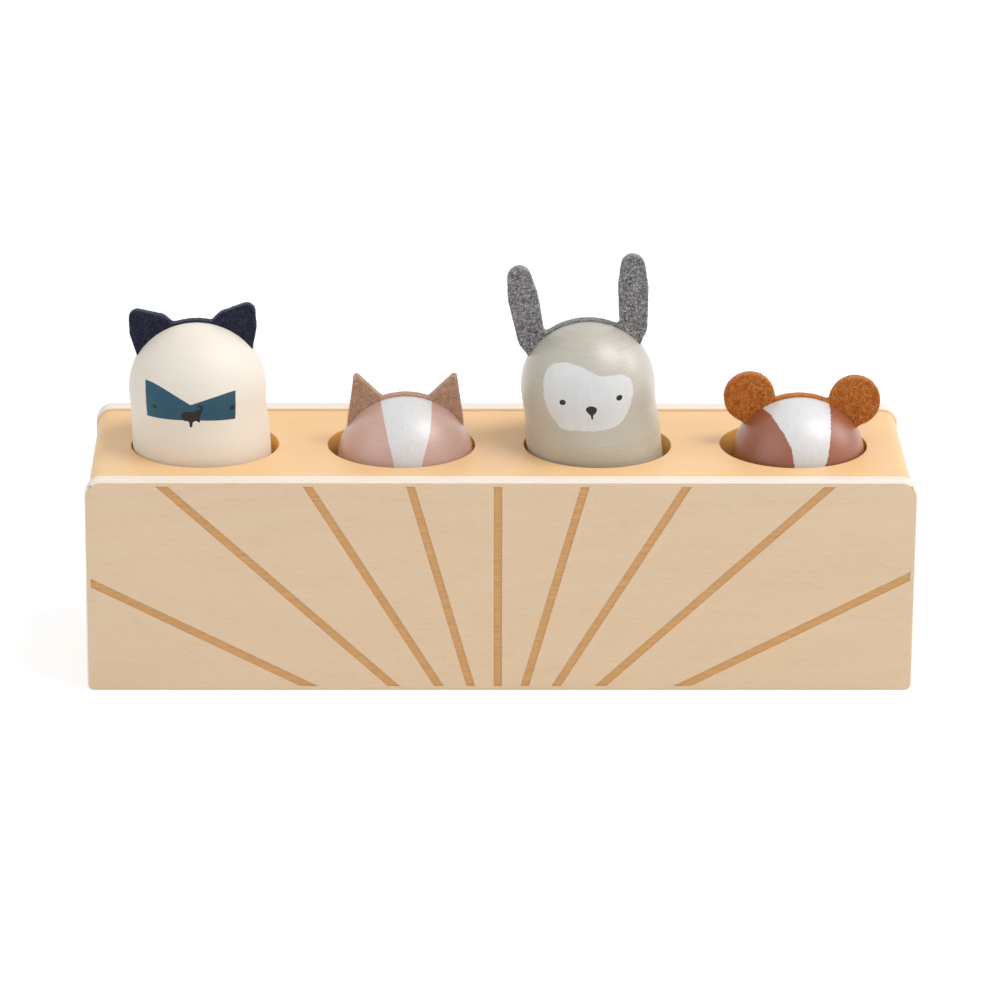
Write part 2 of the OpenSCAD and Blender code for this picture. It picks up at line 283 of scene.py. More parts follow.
def brush_marks_group():
    tree, g, inp, leave = new_group(
        "brush marks",
        [("Where", VECTOR, None), ("Paint", COLOUR, (0.8, 0.8, 0.8, 1)),
         ("Shade", COLOUR, (0.7, 0.7, 0.7, 1)), ("Streaks", FLOAT, 1.0)],
        [("Colour", COLOUR), ("Height", FLOAT), ("Roughness", FLOAT)])
    where = inp["Where"]
    cloud = g.noise(where, PAINT_CLOUDS, 3.0, 0.5)
    streak = g.noise(where, PAINT_STREAKS, 3.0, 0.6)
    peel = g.noise(where, PAINT_PEEL, 3.0, 0.6)
    tone = g.plus(g.times(cloud, 0.4), g.times(streak, 0.35))
    tone = g.plus(tone, g.times(peel, 0.25))
    tone = g.times(g.remap(tone, 0.38, 0.62), inp["Streaks"], clamp=True)
    g.fill(leave, Colour=g.mix(tone, inp["Paint"], inp["Shade"]),
           Height=g.plus(g.times(streak, 0.6), g.times(peel, 0.4)),
           Roughness=g.remap(cloud, 0.3, 0.7, 0.42, 0.54))
    return tree


brush_marks = brush_marks_group()
print("brush marks:", len(brush_marks.nodes), "nodes")

# %% Felt
# Waves per metre, and how far a fibre curls aside.
FELT_CLUMPS = 620.0
FELT_PITS = 2300.0
FELT_ACROSS = (2900.0, 2900.0, 650.0)
FELT_ALONG = (700.0, 2900.0, 2900.0)
FELT_CURLS = 900.0
CURL_REACH = (1.6 * MM,) * 3


def felt_group():
    tree, g, inp, leave = new_group(
        "felt",
        [("Where", VECTOR, None), ("Wool", COLOUR, (0.5, 0.5, 0.5, 1)),
         ("Dark fibre", COLOUR, (0.3, 0.3, 0.3, 1)), ("Light fibre", COLOUR, (0.7, 0.7, 0.7, 1)),
         ("Mottle", FLOAT, 0.5)],
        [("Colour", COLOUR), ("Height", FLOAT)])
    where = inp["Where"]
    curled = g.push(where, g.noise(where, FELT_CURLS, 2.0, out=1), CURL_REACH)
    clumps = g.noise(where, FELT_CLUMPS, 6.0, 0.72)
    across = g.noise(curled, FELT_ACROSS, 2.0)
    along = g.noise(curled, FELT_ALONG, 2.0)
    fibres = g.math("MAXIMUM", across, along)
    pits = g.remap(g.noise(where, FELT_PITS, 2.0), 0.5, 0.38, 0.0, 0.8)
    dark = g.math("MAXIMUM", g.remap(clumps, 0.46, 0.62), pits)
    dark = g.times(dark, inp["Mottle"])
    tufts = g.times(g.remap(clumps, 0.48, 0.34), 0.4)
    light = g.math("MAXIMUM", g.remap(fibres, 0.53, 0.66), tufts)
    light = g.times(light, inp["Mottle"])
    colour = g.mix(dark, inp["Wool"], inp["Dark fibre"])
    g.fill(leave, Colour=g.mix(light, colour, inp["Light fibre"]),
           Height=g.plus(fibres, clumps))
    return tree


felt = felt_group()
print("node groups:", [t.name for t in bpy.data.node_groups])

# %% [markdown]
# ## Plywood
#
# The plates are birch plywood. Their faces show a quiet flat-sawn veneer, sealed with a matt
# lacquer, and their edges show the stack of veneers, every other one end grain. The stack
# only depends on how deep a point lies in the plate, so the edge pattern is a set of bands
# across Y. The engraved rays are scorched by the engraver: everything just below the front
# surface, inside the bare margin, is browner, and the low walls of a ray are amber.

# %% Plywood material
PLY_LIGHT = (0.79, 0.60, 0.41)
PLY_DARK = (0.67, 0.475, 0.295)
PLY_EDGE_PALE = (0.91, 0.84, 0.76)
PLY_EDGE_BROWN = (0.76, 0.60, 0.43)
PLY_WARM = (0.80, 0.555, 0.30)
SCORCH = (0.68, 0.385, 0.145)
SCORCH_DARK = (0.56, 0.29, 0.115)
SCORCH_WALL = (0.80, 0.44, 0.17)
PLY_CONTRAST = 0.32
VENEERS = 5
# Waves per metre: warm streaks, scorch marks, and the edge's bends and end grain.
WARM_WAVES = (16.0, 1.0, 430.0)
SCORCH_WAVES = (150.0, 1.0, 1900.0)
EDGE_BENDS = 90.0
END_GRAIN_WAVES = (1800.0, 260.0, 1800.0)
front_low, front_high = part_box("front_plate")
back_low, back_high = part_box("back_plate")
PLATE_T = front_high.y - front_low.y
RAY_DEPTH = 0.3 * MM
RAY_MARGIN = 1.5 * MM


def inside_margin(g, place):
    """1 on the part of a plate's face that the rays may reach, 0 on its margin."""
    bare = 0.9 * RAY_MARGIN
    inner = g.math("LESS_THAN", g.math("ABSOLUTE", place[0]), front_high.x - bare)
    inner = g.times(inner, g.math("GREATER_THAN", place[2], front_low.z + bare))
    return g.times(inner, g.math("LESS_THAN", place[2], front_high.z - bare))


def plywood_material(name, outer_y):
    material, g, shader = new_material(name)
    where = g.coordinates()
    normal = g.coordinates("Normal")
    facing = g.remap(g.math("ABSOLUTE", g.part(normal, "Y")), 0.75, 0.95)
    place = [g.part(where, axis) for axis in "XYZ"]
    depth = g.math("ABSOLUTE", g.math("SUBTRACT", place[1], outer_y))
    grain = g.group(wood_grain, Where=where, Light=PLY_LIGHT, Dark=PLY_DARK,
                    Contrast=PLY_CONTRAST)
    streak = g.noise(where, WARM_WAVES, 4.0, 0.65)
    veneer = g.mix(g.remap(streak, 0.48, 0.68, 0.0, 0.35), grain["Colour"], PLY_WARM)
    scorched = g.remap(depth, 0.02 * RAY_DEPTH, 0.1 * RAY_DEPTH)
    scorched = g.times(scorched, g.math("LESS_THAN", depth, 3 * RAY_DEPTH))
    scorched = g.times(scorched, inside_margin(g, place))
    cross = g.noise(where, SCORCH_WAVES, 4.0, 0.7)
    burnt = g.mix(g.remap(cross, 0.42, 0.66), SCORCH, SCORCH_DARK)
    burnt = g.mix(g.remap(cross, 0.42, 0.3, 0.0, 0.35), burnt, veneer)
    face = g.mix(scorched, veneer, burnt)
    wavy = g.times(g.noise(where, EDGE_BENDS, 2.0), 0.35)
    layer = g.plus(g.times(depth, VENEERS / PLATE_T), wavy)
    stripe = g.math("PINGPONG", layer, 1.0)
    end_grain = g.noise(where, END_GRAIN_WAVES, 3.0)
    stripe = g.remap(g.plus(stripe, g.times(end_grain, 0.5)), 0.62, 1.0)
    edge = g.mix(g.times(stripe, 0.55), PLY_EDGE_PALE, PLY_EDGE_BROWN)
    edge = g.mix(scorched, edge, SCORCH_WALL)
    g.fill(shader, Base_Color=g.mix(facing, edge, face),
           Roughness=g.remap(grain["Pores"], 0.0, 1.0, 0.52, 0.75),
           Normal=g.bump(grain["Height"], 0.35, 0.06 * MM))
    return material


front_ply = plywood_material("front plywood", front_low.y)
back_ply = plywood_material("back plywood", back_high.y)
print("plywood:", round(PLATE_T / MM, 2), "mm thick,", VENEERS, "veneers")

# %% [markdown]
# ## Mustard paint
#
# The core between the plates, holes included, is painted a warm mustard. Water-based paint
# on sanded wood has a satin sheen and faint brush streaks. The streaks run along the box,
# so the group gets its coordinates turned: its streak axis is Z, which here has to lie
# across the panel. The walls in the holes are given a brighter, more orange mustard. This is
# painted light: it stands in for the light that falls into the holes. The walls are the
# parts that stand upright between the outermost holes.

# %% Mustard paint material
MUSTARD = (0.87, 0.56, 0.275)
MUSTARD_SHADE = (0.84, 0.51, 0.22)
# A brighter, more orange mustard for the hole walls: painted light for the light falling into the
# holes.
MUSTARD_WALL_PAINTED_LIGHT = (0.99, 0.56, 0.135)
MUSTARD_STREAKS = 0.25
MUSTARD_SPECULAR = 0.8
HOLE_PITCH = 60.0 * MM
HOLE_R = 22.5 * MM
hole_xs = [(k - 1.5) * HOLE_PITCH for k in range(4)]
HOLES_REACH = hole_xs[-1] + HOLE_R + 1.0 * MM


def mustard_material():
    material, g, shader = new_material("mustard paint")
    where = g.turned(g.coordinates(), "X")
    marks = g.group(brush_marks, Where=where, Paint=MUSTARD, Shade=MUSTARD_SHADE,
                    Streaks=MUSTARD_STREAKS)
    steep = g.math("ABSOLUTE", g.part(g.coordinates("Normal"), "Z"))
    along = g.math("ABSOLUTE", g.part(where, "X"))
    # Painted light: the upright walls between the outermost holes are mixed toward the brighter
    # mustard.
    wall = g.times(g.remap(steep, 0.7, 0.2), g.math("LESS_THAN", along, HOLES_REACH))
    g.fill(shader, Base_Color=g.mix(wall, marks["Colour"], MUSTARD_WALL_PAINTED_LIGHT),
           Roughness=marks["Roughness"], Specular_IOR_Level=MUSTARD_SPECULAR,
           Normal=g.bump(marks["Height"], 0.3, 0.03 * MM))
    return material


mustard = mustard_material()
print("paint on the core:", mustard.name)

# %% [markdown]
# ## Bare beech
#
# Rockers, rods, dowels and stop discs are unpainted beech, hidden in the box. They get the
# same grain group with beech's pinker tones, so the toy is right when it is taken apart.

# %% Beech material
BEECH_LIGHT = (0.70, 0.48, 0.29)
BEECH_DARK = (0.55, 0.34, 0.19)
BEECH_CONTRAST = 0.9
BEECH_TURNS = {"X": (0, 0, 0), "Y": (0, 0, math.radians(90)), "Z": (0, math.radians(90), 0)}


def beech_material(axis):
    """Bare beech whose grain runs along X, Y or Z."""
    material, g, shader = new_material("beech, grain along " + axis)
    where = g.node("ShaderNodeVectorRotate", 0, {"rotation_type": "EULER_XYZ"},
                   Vector=g.coordinates(), Rotation=BEECH_TURNS[axis])
    grain = g.group(wood_grain, Where=where, Light=BEECH_LIGHT, Dark=BEECH_DARK,
                    Contrast=BEECH_CONTRAST)
    g.fill(shader, Base_Color=grain["Colour"], Roughness=0.6,
           Normal=g.bump(grain["Height"], 0.4, 0.06 * MM))
    return material


beech = {axis: beech_material(axis) for axis in "XYZ"}
print("beech:", [material.name for material in beech.values()])

# %% [markdown]
# ## Building meshes
#
# The frame's plates have sharp edges, and its round holes are polygons. The real plates
# were sanded, so their edges catch a thin line of light. A Bevel modifier could soften the
# frame's own mesh, but one width has to suit both a long edge and a groove 0.3 mm deep.
# Building the slab afresh is cleaner: an outline with true arcs is given its thickness, its
# edges are rounded, and grooves and holes are cut last.

# %% From a mesh to a piece
def to_object(name, mesh, material, smooth_angle=32.0):
    mesh.materials.clear()
    mesh.materials.append(material)
    mesh.shade_smooth()
    mesh.set_sharp_from_angle(angle=math.radians(smooth_angle))
    made = bpy.data.objects.new(name, mesh)
    bpy.context.scene.collection.objects.link(made)
    print(name, len(mesh.polygons), "faces")
    return made


# %% Outlines
def arc(centre, radius, start, end, steps):
    """Points on a circle, angles in degrees, both ends included."""
    points = []
    for k in range(steps + 1):
        angle = math.radians(start + (end - start) * k / steps)
        points.append((centre[0] + radius * math.cos(angle), centre[1] + radius * math.sin(angle)))
    return points


def slab_outline(x0, x1, z0, z1, upper_r, lower_r, steps=10):
    """A standing rectangle in X and Z with round corners, anticlockwise seen from the front."""
    return (arc((x1 - lower_r, z0 + lower_r), lower_r, -90, 0, steps)
            + arc((x1 - upper_r, z1 - upper_r), upper_r, 0, 90, steps)
            + arc((x0 + upper_r, z1 - upper_r), upper_r, 90, 180, steps)
            + arc((x0 + lower_r, z0 + lower_r), lower_r, 180, 270, steps))


def circle(x, radius, z, count):
    """Points round an upright line at x."""
    turns = [math.tau * k / count for k in range(count)]
    return [(x + radius * math.cos(a), radius * math.sin(a), z) for a in turns]


print("a round corner of 10 steps:", len(arc((0, 0), 1.0, 0, 90, 10)), "points")


# %% Solids
def opened(*meshes):
    """A bmesh that holds the given meshes, or nothing yet."""
    bm = bmesh.new()
    for mesh in meshes:
        bm.from_mesh(mesh)
    return bm


def closed(bm, mesh):
    """Writes a bmesh into a mesh and frees it."""
    bm.to_mesh(mesh)
    bm.free()
    return mesh


def bridge(bm, rings):
    """Faces between each ring of points and the next."""
    count = len(rings[0])
    for a, b in zip(rings, rings[1:]):
        for k in range(count):
            after = (k + 1) % count
            bm.faces.new((a[k], a[after], b[after], b[k]))


def prism(rings):
    """A closed solid through rings of points that all have the same count."""
    bm = opened()
    made = [[bm.verts.new(p) for p in ring] for ring in rings]
    bridge(bm, made)
    bm.faces.new(made[0])
    bm.faces.new(made[-1][::-1])
    bmesh.ops.recalc_face_normals(bm, faces=bm.faces)
    return closed(bm, bpy.data.meshes.new("prism"))


def slab(outline, y0, y1, edge_r, steps=4, middle=0):
    """The outline given a thickness from y0 to y1, with both long edges rounded."""
    count = len(outline)
    turns = sum(a[0] * b[1] - b[0] * a[1] for a, b in zip(outline, outline[1:] + outline[:1]))
    inward = []
    for k in range(count):
        along = np.array(outline[(k + 1) % count]) - np.array(outline[k - 1])
        along *= np.sign(turns) / max(np.hypot(*along), 1e-9)
        inward.append((-along[1], along[0]))
    quarter = [math.radians(90 * k / steps) for k in range(steps + 1)]
    profile = [(edge_r * (1 - math.sin(a)), y0 + edge_r * (1 - math.cos(a))) for a in quarter]
    straight = y1 - y0 - 2 * edge_r
    profile += [(0.0, y0 + edge_r + straight * k / (middle + 1)) for k in range(1, middle + 1)]
    profile += [(edge_r * (1 - math.cos(a)), y1 - edge_r * (1 - math.sin(a))) for a in quarter]
    sides = list(zip(outline, inward))
    print("slab:", count, "points round,", len(profile), "rows")
    return prism([[(p[0] + n[0] * inset, y, p[1] + n[1] * inset) for p, n in sides]
                  for inset, y in profile])


# %% Cutting
def cut(mesh, cutter):
    """mesh without cutter, worked out by a Boolean modifier and kept as plain geometry."""
    body = bpy.data.objects.new("cut body", mesh)
    tool = bpy.data.objects.new("cut tool", cutter)
    for obj in (body, tool):
        bpy.context.scene.collection.objects.link(obj)
    boolean = body.modifiers.new("cut", "BOOLEAN")
    boolean.operation = "DIFFERENCE"
    boolean.solver = "EXACT"
    boolean.object = tool
    bpy.context.view_layer.update()
    evaluated = body.evaluated_get(bpy.context.evaluated_depsgraph_get())
    result = bpy.data.meshes.new_from_object(evaluated)
    print("cut:", len(mesh.polygons), "faces before,", len(result.polygons), "after")
    for obj in (body, tool):
        bpy.data.objects.remove(obj)
    return result


def joined(meshes):
    return closed(opened(*meshes), bpy.data.meshes.new("joined"))


# %% [markdown]
# ## The plates and the sunburst
#
# Nine straight rays fan out from a point under the box, a hair left of its middle, as the
# real plate shows. There a router or laser cut them 0.3 mm deep. Each ray is a long strip,
# clipped to a window that leaves a bare margin at the plate's edge, and all nine are cut
# out as shallow prisms.

# %% Plates
TOP_CORNER_R = 5.0 * MM
FOOT_CORNER_R = 2.0 * MM
PLATE_EDGE_R = 0.7 * MM
RAYS_EACH_SIDE = 4
RAY_STEP = 15.7
RAY_W = 2.5 * MM
RAY_ORIGIN_DROP = 27.6 * MM
RAY_SHIFT = -0.6 * MM
RAY_TURN = -0.3


def clipped(polygon, axis, limit, keep_below):
    """The part of a polygon on one side of a line across an axis."""
    sign = 1 if keep_below else -1
    result = []
    for a, b in zip(polygon, polygon[1:] + polygon[:1]):
        a_in = sign * (limit - a[axis]) >= 0
        b_in = sign * (limit - b[axis]) >= 0
        if a_in:
            result.append(a)
        if a_in != b_in:
            t = (limit - a[axis]) / (b[axis] - a[axis])
            result.append(tuple(a[i] + (b[i] - a[i]) * t for i in (0, 1)))
    return result


def ray_cutter(angle, low, high):
    reach = 2 * (high.x - low.x)
    side = Vector((math.cos(angle), -math.sin(angle))) * RAY_W / 2
    ahead = Vector((math.sin(angle), math.cos(angle))) * reach
    root = Vector((RAY_SHIFT, low.z - RAY_ORIGIN_DROP))
    strip = (root - side, root + side, root + side + ahead, root - side + ahead)
    strip = [tuple(p) for p in strip]
    for axis, bottom, top in ((0, low.x, high.x), (1, low.z, high.z)):
        strip = clipped(strip, axis, bottom + RAY_MARGIN, False)
        strip = clipped(strip, axis, top - RAY_MARGIN, True)
    ends = (low.y - RAY_DEPTH, low.y + RAY_DEPTH)
    return prism([[(x, y, z) for x, z in strip] for y in ends])


def make_plate(node, low, high, material, ray_angles=()):
    outline = slab_outline(low.x, high.x, low.z, high.z, TOP_CORNER_R, FOOT_CORNER_R)
    mesh = slab(outline, low.y, high.y, PLATE_EDGE_R)
    if ray_angles:
        mesh = cut(mesh, joined([ray_cutter(angle, low, high) for angle in ray_angles]))
    plate = to_object(node + "_veneered", mesh, material)
    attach(plate, "box")
    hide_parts(node)
    return plate


ray_numbers = range(-RAYS_EACH_SIDE, RAYS_EACH_SIDE + 1)
fan = [math.radians(RAY_TURN + RAY_STEP * k) for k in ray_numbers]
front_plate = make_plate("front_plate", front_low, front_high, front_ply, fan)
back_plate = make_plate("back_plate", back_low, back_high, back_ply)
print("rays:", len(fan), "on", front_plate.name + ", none on", back_plate.name)

# %% [markdown]
# ## The painted core
#
# Only the top panel is rebuilt, for its four round holes. Each is cut with a fine cylinder
# that flares at its top in a small quarter round, so the hole's mouth comes out eased, as a
# rounding cutter leaves it. The end walls, the bottom panel and the beech pieces keep the
# frame's own meshes, with a small bevel.

# %% Top panel
HOLE_EDGE = 0.25 * MM
CORE_CORNER_R = 4.2 * MM
CORE_LOWER_R = 0.3 * MM
CORE_EDGE_R = 0.05 * MM
HOLE_SIDES = 160
CUTTER_SPARE = 5 * MM


def hole_cutter(x, low_z, high_z):
    profile = [(HOLE_R, low_z - CUTTER_SPARE), (HOLE_R, high_z - HOLE_EDGE)]
    for k in range(1, 5):
        angle = math.radians(90 * k / 4)
        profile.append((HOLE_R + HOLE_EDGE * (1 - math.cos(angle)),
                        high_z - HOLE_EDGE * (1 - math.sin(angle))))
    profile.append((HOLE_R + HOLE_EDGE, high_z + CUTTER_SPARE))
    return prism([circle(x, radius, z, HOLE_SIDES) for radius, z in profile])


def make_top_panel():
    low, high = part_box("top_panel")
    outline = slab_outline(low.x, high.x, low.z, high.z, CORE_CORNER_R, CORE_LOWER_R)
    mesh = slab(outline, low.y, high.y, CORE_EDGE_R, steps=1)
    mesh = cut(mesh, joined([hole_cutter(x, low.z, high.z) for x in hole_xs]))
    panel = to_object("top_panel_painted", mesh, mustard, smooth_angle=40.0)
    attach(panel, "box")
    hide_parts("top_panel")
    return panel


top_panel = make_top_panel()
print("holes in", top_panel.name + ":", len(hole_xs))


# %% Pieces that keep the frame's mesh
def dress(name, material, bevel):
    """Gives a frame piece its finish and a small bevel, without touching its mesh."""
    piece = nodes[name]
    if not piece.material_slots:
        piece.data.materials.append(None)
    for slot in piece.material_slots:
        slot.link = "OBJECT"
        slot.material = material
    weld = piece.modifiers.new("weld", "WELD")
    weld.merge_threshold = 0.005 * MM
    rounding = piece.modifiers.new("edge", "BEVEL")
    rounding.width = bevel
    rounding.segments = 2
    rounding.limit_method = "ANGLE"
    rounding.angle_limit = math.radians(40)


CORE_BEVEL = 0.25 * MM
BOARD_BEVEL = 0.4 * MM
DOWEL_BEVEL = 0.3 * MM
PAINTED = ("bottom_panel", "left_end", "right_end")
BOARDS = ("left_rocker", "right_rocker")
DOWELS = ("plate_dowels", "left_pivot_rod", "right_pivot_rod")
for name in PAINTED:
    dress(name, mustard, CORE_BEVEL)
for name in BOARDS:
    dress(name, beech["X"], BOARD_BEVEL)
for name in DOWELS:
    dress(name, beech["Y"], DOWEL_BEVEL)
print("dressed:", *PAINTED, *BOARDS, *DOWELS)

# %% [markdown]
# ## The animals' bodies
#
# Each animal is turned on a lathe: a round head, a slight waist and a straight base. A
# lathe shape is a half outline swept round an axis. The axis isn't typed in: it is read
# from the stop disc under the animal, whose flat faces are square to it, so the animal
# leans in its hole exactly as the frame's does. Hand-turned pegs differ a little, so how
# slim and how tall each one is comes from the frame as well.

# %% Each peg's place and size
BASE_R = 21.0 * MM
WAIST_R = 20.6 * MM
HEAD_R = 20.9 * MM
WAIST_BELOW_HEAD = 7.0 * MM
FLARE_BELOW_HEAD = 16.0 * MM
FOOT_BEVEL = 0.6 * MM
FELT_T = 3.0 * MM
DISC_T = 4.0 * MM
ANIMALS = ("white_cat", "pink_cat", "rabbit", "bear")


def points_of(name):
    return np.array([v.co for v in nodes[name].data.vertices])


class Peg:
    """The axes and sizes of one animal, measured on the frame. Heights are from its head."""

    def __init__(self, animal):
        disc = points_of(animal + "_stop_disc")
        centre = (disc.min(0) + disc.max(0)) / 2
        axis = np.linalg.svd(disc - disc.mean(0), full_matrices=False)[2][2]
        axis = Vector(axis * np.sign(axis[2]))
        across = Vector((0, 1, 0)).cross(axis).normalized()
        turn = np.array((across, axis.cross(across), axis))
        body = (points_of(animal + "_body") - centre) @ turn.T
        self.slimmer = BASE_R - np.hypot(body[:, 0], body[:, 1]).max()
        self.head_r = HEAD_R - self.slimmer
        slot_edge = math.sqrt(self.head_r ** 2 - (FELT_T / 2) ** 2)
        head_up = body[:, 2].max() - slot_edge
        self.foot = DISC_T / 2 - head_up
        self.head = Vector(centre) + axis * head_up
        self.matrix = Matrix.Translation(self.head) @ Matrix(turn).transposed().to_4x4()


pegs = {animal: Peg(animal) for animal in ANIMALS}
for animal, peg in pegs.items():
    sizes = round(peg.head_r / MM, 2), round(peg.foot / MM, 2)
    print(animal, "head radius and foot below it, in mm:", sizes)


# %% Turning
ROW_GAP = 0.45 * MM
AROUND = 288


def eased(r0, z0, r1, z1):
    steps = max(2, round(abs(z1 - z0) / ROW_GAP))
    rows = []
    for k in range(steps):
        t = k / steps
        rows.append((r0 + (r1 - r0) * (1 - math.cos(math.pi * t)) / 2, z0 + (z1 - z0) * t))
    return rows


def turned_half(peg):
    """Radius and height of each row, from the foot up to just below the crown."""
    base, waist = BASE_R - peg.slimmer, WAIST_R - peg.slimmer
    nearly = 0.3 * FOOT_BEVEL
    rows = [(base - FOOT_BEVEL, peg.foot), (base - nearly, peg.foot + nearly)]
    rows += eased(base, peg.foot + FOOT_BEVEL, base, -FLARE_BELOW_HEAD)
    rows += eased(base, -FLARE_BELOW_HEAD, waist, -WAIST_BELOW_HEAD)
    rows += eased(waist, -WAIST_BELOW_HEAD, peg.head_r, 0.0)
    steps = round(peg.head_r * math.pi / 2 / ROW_GAP)
    for k in range(steps):
        angle = math.pi / 2 * k / steps
        rows.append((peg.head_r * math.cos(angle), peg.head_r * math.sin(angle)))
    return rows


def turned_mesh(peg):
    bm = opened()
    rings = []
    for radius, z in turned_half(peg):
        rings.append([bm.verts.new(p) for p in circle(0.0, radius, z, AROUND)])
    bridge(bm, rings)
    bm.faces.new(rings[0][::-1])
    crown = bm.verts.new((0, 0, peg.head_r))
    for k in range(AROUND):
        bm.faces.new((rings[-1][k], rings[-1][(k + 1) % AROUND], crown))
    return closed(bm, bpy.data.meshes.new("turned"))


print("rows from foot to crown:", *[len(turned_half(peg)) for peg in pegs.values()])


# %% Sawing the slot
SLOT_RISE = 11.2 * MM
HAIR = 1e-4 * MM


def saw_slot(mesh):
    """Saws the felt's slot into the head: a flat floor between two flat walls."""
    bm = opened(mesh)
    half = FELT_T / 2
    floor_plane = ((0, 0, SLOT_RISE), (0, 0, 1))
    wall_planes = [((0, side, 0), (0, 1, 0)) for side in (-half, half)]
    for place, direction in (floor_plane, *wall_planes):
        top = [f for f in bm.faces if f.calc_center_median().z > SLOT_RISE - ROW_GAP]
        lines = {e for f in top for e in f.edges}
        corners = {v for f in top for v in f.verts}
        bmesh.ops.bisect_plane(bm, geom=[*top, *lines, *corners], dist=HAIR,
                               plane_co=place, plane_no=direction)
    middles = [(f, f.calc_center_median()) for f in bm.faces]
    sawn = [f for f, middle in middles if middle.z > SLOT_RISE and abs(middle.y) < half]
    bmesh.ops.delete(bm, geom=sawn, context="FACES")
    rim = [v for v in bm.verts if any(e.is_boundary for e in v.link_edges)]
    for side in (-half, half):
        wall = [v for v in rim if abs(v.co.y - side) < 2 * HAIR]
        bm.faces.new(sorted(wall, key=lambda v: v.co.x))
    floor = [v for v in rim if abs(v.co.z - SLOT_RISE) < 2 * HAIR]
    right = sorted((v for v in floor if v.co.x > 0), key=lambda v: v.co.y)
    left = sorted((v for v in floor if v.co.x < 0), key=lambda v: -v.co.y)
    bm.faces.new(right + left)
    bmesh.ops.recalc_face_normals(bm, faces=bm.faces)
    closed(bm, mesh)


print("slot:", round(FELT_T / MM, 2), "mm wide, its floor", round(SLOT_RISE / MM, 2),
      "mm above the head's centre")

# %% [markdown]
# ## Painted faces
#
# The faces are flat paint, so they belong in the material, but their outlines are shapes
# that a maker drew. Each outline is a short list of points on the surface, in millimetres:
# the first number runs sideways and the second up over the head. For every point of the
# mesh the distance to the outline is worked out and stored as an attribute, and the
# material turns that distance into an edge that is as crisp or as brushy as the real one.

# %% Face outlines
FACES = {
    "white_cat": {
        "turn": -4,
        "nose_round": 0,
        "patch": [(-13.9, 10.2), (0.1, 0.95), (13.4, 4.5), (13.2, -1.0), (12.8, -5.4), (1, -4.0),
                  (-14.0, -3.65)],
        "round": 0,
        "eyes": [(-11.2, -0.1), (12.2, -1.6)],
        "eye_r": 0.75,
        "nose": [(-2.65, -1.48), (-1.85, -1.18), (1.05, -1.28), (1.75, -0.88), (2.35, -0.58),
                 (2.95, -0.43), (3.35, -0.53), (2.85, 0.12), (2.35, 0.07), (1.75, -0.28),
                 (1.65, -0.08), (2.25, 0.52), (2.95, 0.82), (3.55, 0.47), (3.85, -0.18),
                 (3.75, -0.68), (3.55, -1.28), (3.05, -2.18), (2.75, -3.18), (2.55, -3.78),
                 (2.55, -4.78), (1.95, -4.68), (1.55, -4.28), (1.05, -4.28), (0.65, -4.48),
                 (0.3, -4.98), (0.15, -5.88), (-0.25, -6.38), (-0.7, -5.98), (-0.7, -5.08),
                 (-0.75, -4.38), (-1.45, -4.18), (-2.25, -4.08), (-2.65, -3.58), (-2.95, -2.98),
                 (-2.85, -2.08)],
    },
    "pink_cat": {
        "turn": 2,
        "nose_round": 1,
        "patch": [(-8.0, 36), (-7.7, 31.4), (-7.2, 22.8), (-6.2, 14.9), (-4.1, 4.3), (-2.6, -5),
                  (0, -7.5), (2.6, -5), (3.9, 4.1), (6.9, 14.8), (7.6, 22.7), (8.0, 30.3),
                  (8.2, 36)],
        "round": 1,
        "eyes": [(-9.0, 1.5), (9.0, 1.5)],
        "eye_r": 0.9,
        "nose": [(-1.8, -0.6), (0, 0.1), (1.8, -0.6), (0.4, -2.6), (0.3, -3.8), (-0.1, -3.8),
                 (-0.2, -2.6)],
    },
    "rabbit": {
        "turn": 1,
        "nose_round": 1,
        "patch": [(-13.7, 8.0), (-13.2, 12.3), (-11.3, 15.0), (-7.7, 14.9), (-4.0, 13.4),
                  (0.1, 10.6), (3.7, 8.3), (7.0, 8.3), (11.0, 8.6), (13.3, 6.0), (12.9, 0.3),
                  (11.4, -4.0), (7.6, -8.2), (2.0, -8.7), (-5.0, -8.0), (-9.4, -7.5),
                  (-12.2, -4.3), (-14.1, 2.0)],
        "round": 2,
        "eyes": [(-8.5, 1.4), (8.7, 0.8)],
        "eye_r": 0.95,
        "nose": [(-1.9, -1.3), (-1.2, -0.4), (0.3, -0.3), (1.7, -1.3), (1.2, -2.7), (0.2, -3.3),
                 (0.1, -4.7), (-0.4, -4.7), (-0.5, -3.3), (-1.3, -2.5)],
    },
    "bear": {
        "turn": 3,
        "nose_round": 1,
        "patch": [(-12.6, 36), (-12.0, 30.8), (-11.4, 27.4), (-9.9, 23.2), (-9.0, 19.9),
                  (-7.6, 16.4), (-6.0, 12.8), (-4.8, 9.6), (-3.8, 4.2), (-3, -5.5), (0, -7.5),
                  (3, -5.5), (5.8, 4.9), (6.9, 9.0), (7.6, 17.4), (8.0, 24.2), (8.4, 36)],
        "round": 1,
        "eyes": [(-9.3, 1.2), (9.3, 1.2)],
        "eye_r": 0.9,
        "nose": [(-2.2, -0.8), (-1.0, 0.2), (1.0, 0.2), (2.2, -0.8), (0.6, -2.6), (0.2, -4.0),
                 (-0.2, -4.0), (-0.6, -2.6)],
    },
}
print("faces drawn for:", *FACES)

# %% Distance to an outline
def rounded(points, times):
    """Chaikin's corner cutting: each pass replaces a corner by two points near it."""
    for _ in range(times):
        softer = []
        for a, b in zip(points, points[1:] + points[:1]):
            softer.append(tuple(0.75 * a[i] + 0.25 * b[i] for i in (0, 1)))
            softer.append(tuple(0.25 * a[i] + 0.75 * b[i] for i in (0, 1)))
        points = softer
    return points


